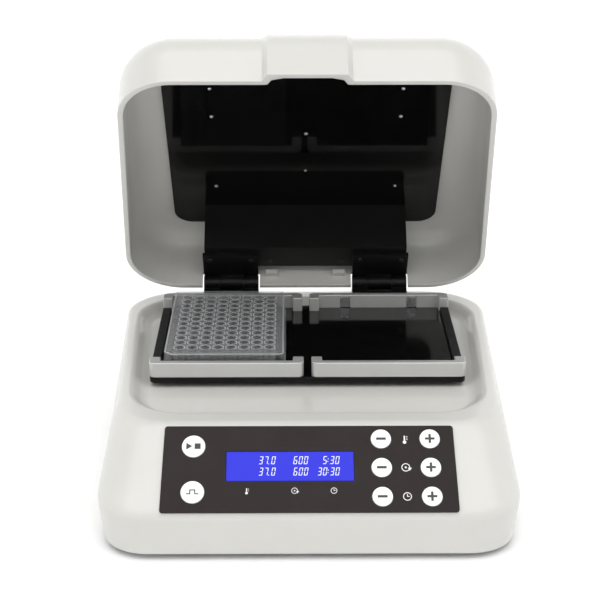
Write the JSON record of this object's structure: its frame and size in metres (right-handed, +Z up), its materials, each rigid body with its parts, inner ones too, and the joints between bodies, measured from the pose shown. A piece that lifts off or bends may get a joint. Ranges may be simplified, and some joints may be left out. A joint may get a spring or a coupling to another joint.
{
  "type": "orbital shaker",
  "caption": "Benchtop heated orbital shaker for microplates: low housing with sloped key panel, fenced tray on an eccentric drive, hinged domed hood with a heated plate.",
  "frame": {"origin": "on the table, at the bottom centre of the outline with the hood standing open", "axes": "+Z up, -Y towards the user and the control panel, +X to the right seen from the front"},
  "size_m": [0.2754, 0.3206, 0.3013],
  "materials": {
    "housing_white": "satin off-white",
    "steel_plate": "zinc plated",
    "foot_rubber": "matte",
    "screw_steel": "zinc plated",
    "panel_brown": "matte dark brown-grey overlay",
    "key_white": "satin white",
    "display_blue": "glossy blue window",
    "display_frame": "matte black",
    "circuit_board": "green solder mask",
    "laminated_iron": "varnished",
    "black_plastic": "matte black",
    "rocker_black": "glossy black",
    "machined_aluminium": "machined",
    "brass_post": "plain",
    "bearing_steel": "ground",
    "motor_shell": "satin black",
    "shaft_steel": "ground",
    "black_anodised": "gloss black anodised",
    "heater_silicone": "matte",
    "fence_aluminium": "satin clear anodised",
    "spring_steel": "plain",
    "clear_polystyrene": "clear",
    "hinge_black": "satin black",
    "heater_plate_black": "gloss black"
  },
  "bodies": {
    "base": {"housing": "housing_white", "base_plate": "steel_plate", "rubber_feet": "foot_rubber", "bottom_screws": "screw_steel", "control_panel": "panel_brown", "display_window": "display_blue", "display_module": "display_frame", "control_board": "circuit_board", "housing_inner_screws": "screw_steel", "power_board": "circuit_board", "transformer": "laminated_iron", "mains_inlet": "black_plastic", "power_switch_frame": "black_plastic", "fuse_holder": "black_plastic", "drive_deck": "machined_aluminium", "standoffs": "brass_post", "deck_screws": "screw_steel", "idler_deck_bearings": "bearing_steel", "motor_housing": "motor_shell", "motor_bearings": "bearing_steel", "motor_stator": "laminated_iron", "base_hinges": "hinge_black", "hinge_pins": "shaft_steel"},
    "drive": {"motor_rotor": "laminated_iron", "motor_shaft": "shaft_steel", "eccentric_hub": "machined_aluminium", "counterweight": "brass_post"},
    "platform": {"orbit_carrier": "machined_aluminium", "carrier_bearings": "bearing_steel", "tray_posts": "machined_aluminium", "carrier_screws": "screw_steel", "tray_plate": "black_anodised", "tray_heater_mats": "heater_silicone", "front_fence_left": "fence_aluminium", "front_fence_right": "fence_aluminium", "rear_fence_left": "fence_aluminium", "rear_fence_right": "fence_aluminium", "plate_spring_clips": "spring_steel", "side_rails": "black_plastic"},
    "plate": {"microplate": "clear_polystyrene"},
    "lid": {"lid_shell": "housing_white", "lid_heater_plate": "heater_plate_black", "lid_heater_mat": "heater_silicone", "lid_plate_screws": "screw_steel", "hinge_cover": "hinge_black", "lid_hinges": "hinge_black", "lid_hinge_screws": "screw_steel"},
    "rocker": {"power_rocker": "rocker_black"},
    "idler_front_left": {"idler_crank_front_left": "shaft_steel"},
    "idler_front_right": {"idler_crank_front_right": "shaft_steel"},
    "idler_rear_left": {"idler_crank_rear_left": "shaft_steel"},
    "idler_rear_right": {"idler_crank_rear_right": "shaft_steel"},
    "start_stop_button": {"start_stop_key": "key_white"},
    "short_run_button": {"short_run_key": "key_white"},
    "temperature_down_button": {"temperature_down_key": "key_white"},
    "temperature_up_button": {"temperature_up_key": "key_white"},
    "speed_down_button": {"speed_down_key": "key_white"},
    "speed_up_button": {"speed_up_key": "key_white"},
    "time_down_button": {"time_down_key": "key_white"},
    "time_up_button": {"time_up_key": "key_white"}
  },
  "joints": [
    {"name": "lid_hinge", "type": "hinge", "parent": "base", "child": "lid", "pos_m": [0, 0.13168, 0.0807], "axis": [1, 0, 0], "range_deg": [0, 53.8]},
    {"name": "drive_spin", "type": "hinge", "parent": "base", "child": "drive", "pos_m": [0, 0.02648, 0.045], "axis": [0, 0, 1], "continuous": true},
    {"name": "platform_spin", "type": "hinge", "parent": "drive", "child": "platform", "pos_m": [0, 0.02748, 0.055], "axis": [0, 0, 1], "continuous": true},
    {"name": "idler_front_left_spin", "type": "hinge", "parent": "base", "child": "idler_front_left", "pos_m": [-0.078, -0.01552, 0.045], "axis": [0, 0, 1], "continuous": true},
    {"name": "idler_front_right_spin", "type": "hinge", "parent": "base", "child": "idler_front_right", "pos_m": [0.078, -0.01552, 0.045], "axis": [0, 0, 1], "continuous": true},
    {"name": "idler_rear_left_spin", "type": "hinge", "parent": "base", "child": "idler_rear_left", "pos_m": [-0.078, 0.06848, 0.045], "axis": [0, 0, 1], "continuous": true},
    {"name": "idler_rear_right_spin", "type": "hinge", "parent": "base", "child": "idler_rear_right", "pos_m": [0.078, 0.06848, 0.045], "axis": [0, 0, 1], "continuous": true},
    {"name": "start_stop_press", "type": "slide", "parent": "base", "child": "start_stop_button", "axis": [0, 0.6751, -0.7378], "range_m": [0, 0.0005], "stiffness_N_per_m": 1500},
    {"name": "short_run_press", "type": "slide", "parent": "base", "child": "short_run_button", "axis": [0, 0.6751, -0.7378], "range_m": [0, 0.0005], "stiffness_N_per_m": 1500},
    {"name": "temperature_down_press", "type": "slide", "parent": "base", "child": "temperature_down_button", "axis": [0, 0.6751, -0.7378], "range_m": [0, 0.0005], "stiffness_N_per_m": 1500},
    {"name": "temperature_up_press", "type": "slide", "parent": "base", "child": "temperature_up_button", "axis": [0, 0.6751, -0.7378], "range_m": [0, 0.0005], "stiffness_N_per_m": 1500},
    {"name": "speed_down_press", "type": "slide", "parent": "base", "child": "speed_down_button", "axis": [0, 0.6751, -0.7378], "range_m": [0, 0.0005], "stiffness_N_per_m": 1500},
    {"name": "speed_up_press", "type": "slide", "parent": "base", "child": "speed_up_button", "axis": [0, 0.6751, -0.7378], "range_m": [0, 0.0005], "stiffness_N_per_m": 1500},
    {"name": "time_down_press", "type": "slide", "parent": "base", "child": "time_down_button", "axis": [0, 0.6751, -0.7378], "range_m": [0, 0.0005], "stiffness_N_per_m": 1500},
    {"name": "time_up_press", "type": "slide", "parent": "base", "child": "time_up_button", "axis": [0, 0.6751, -0.7378], "range_m": [0, 0.0005], "stiffness_N_per_m": 1500},
    {"name": "power_rocker_tilt", "type": "hinge", "parent": "base", "child": "rocker", "pos_m": [0.044, 0.13318, 0.036], "axis": [0, 0, 1], "range_deg": [0, 12]},
    {"name": "microplate_lift", "type": "slide", "parent": "platform", "child": "plate", "axis": [0, 0, 1], "range_m": [0, 0.025]}
  ],
  "couplings": [
    {"joint": "platform_spin", "follows": "drive_spin", "ratio": -1},
    {"joint": "idler_front_left_spin", "follows": "drive_spin", "ratio": 1},
    {"joint": "idler_front_right_spin", "follows": "drive_spin", "ratio": 1},
    {"joint": "idler_rear_left_spin", "follows": "drive_spin", "ratio": 1},
    {"joint": "idler_rear_right_spin", "follows": "drive_spin", "ratio": 1}
  ]
}
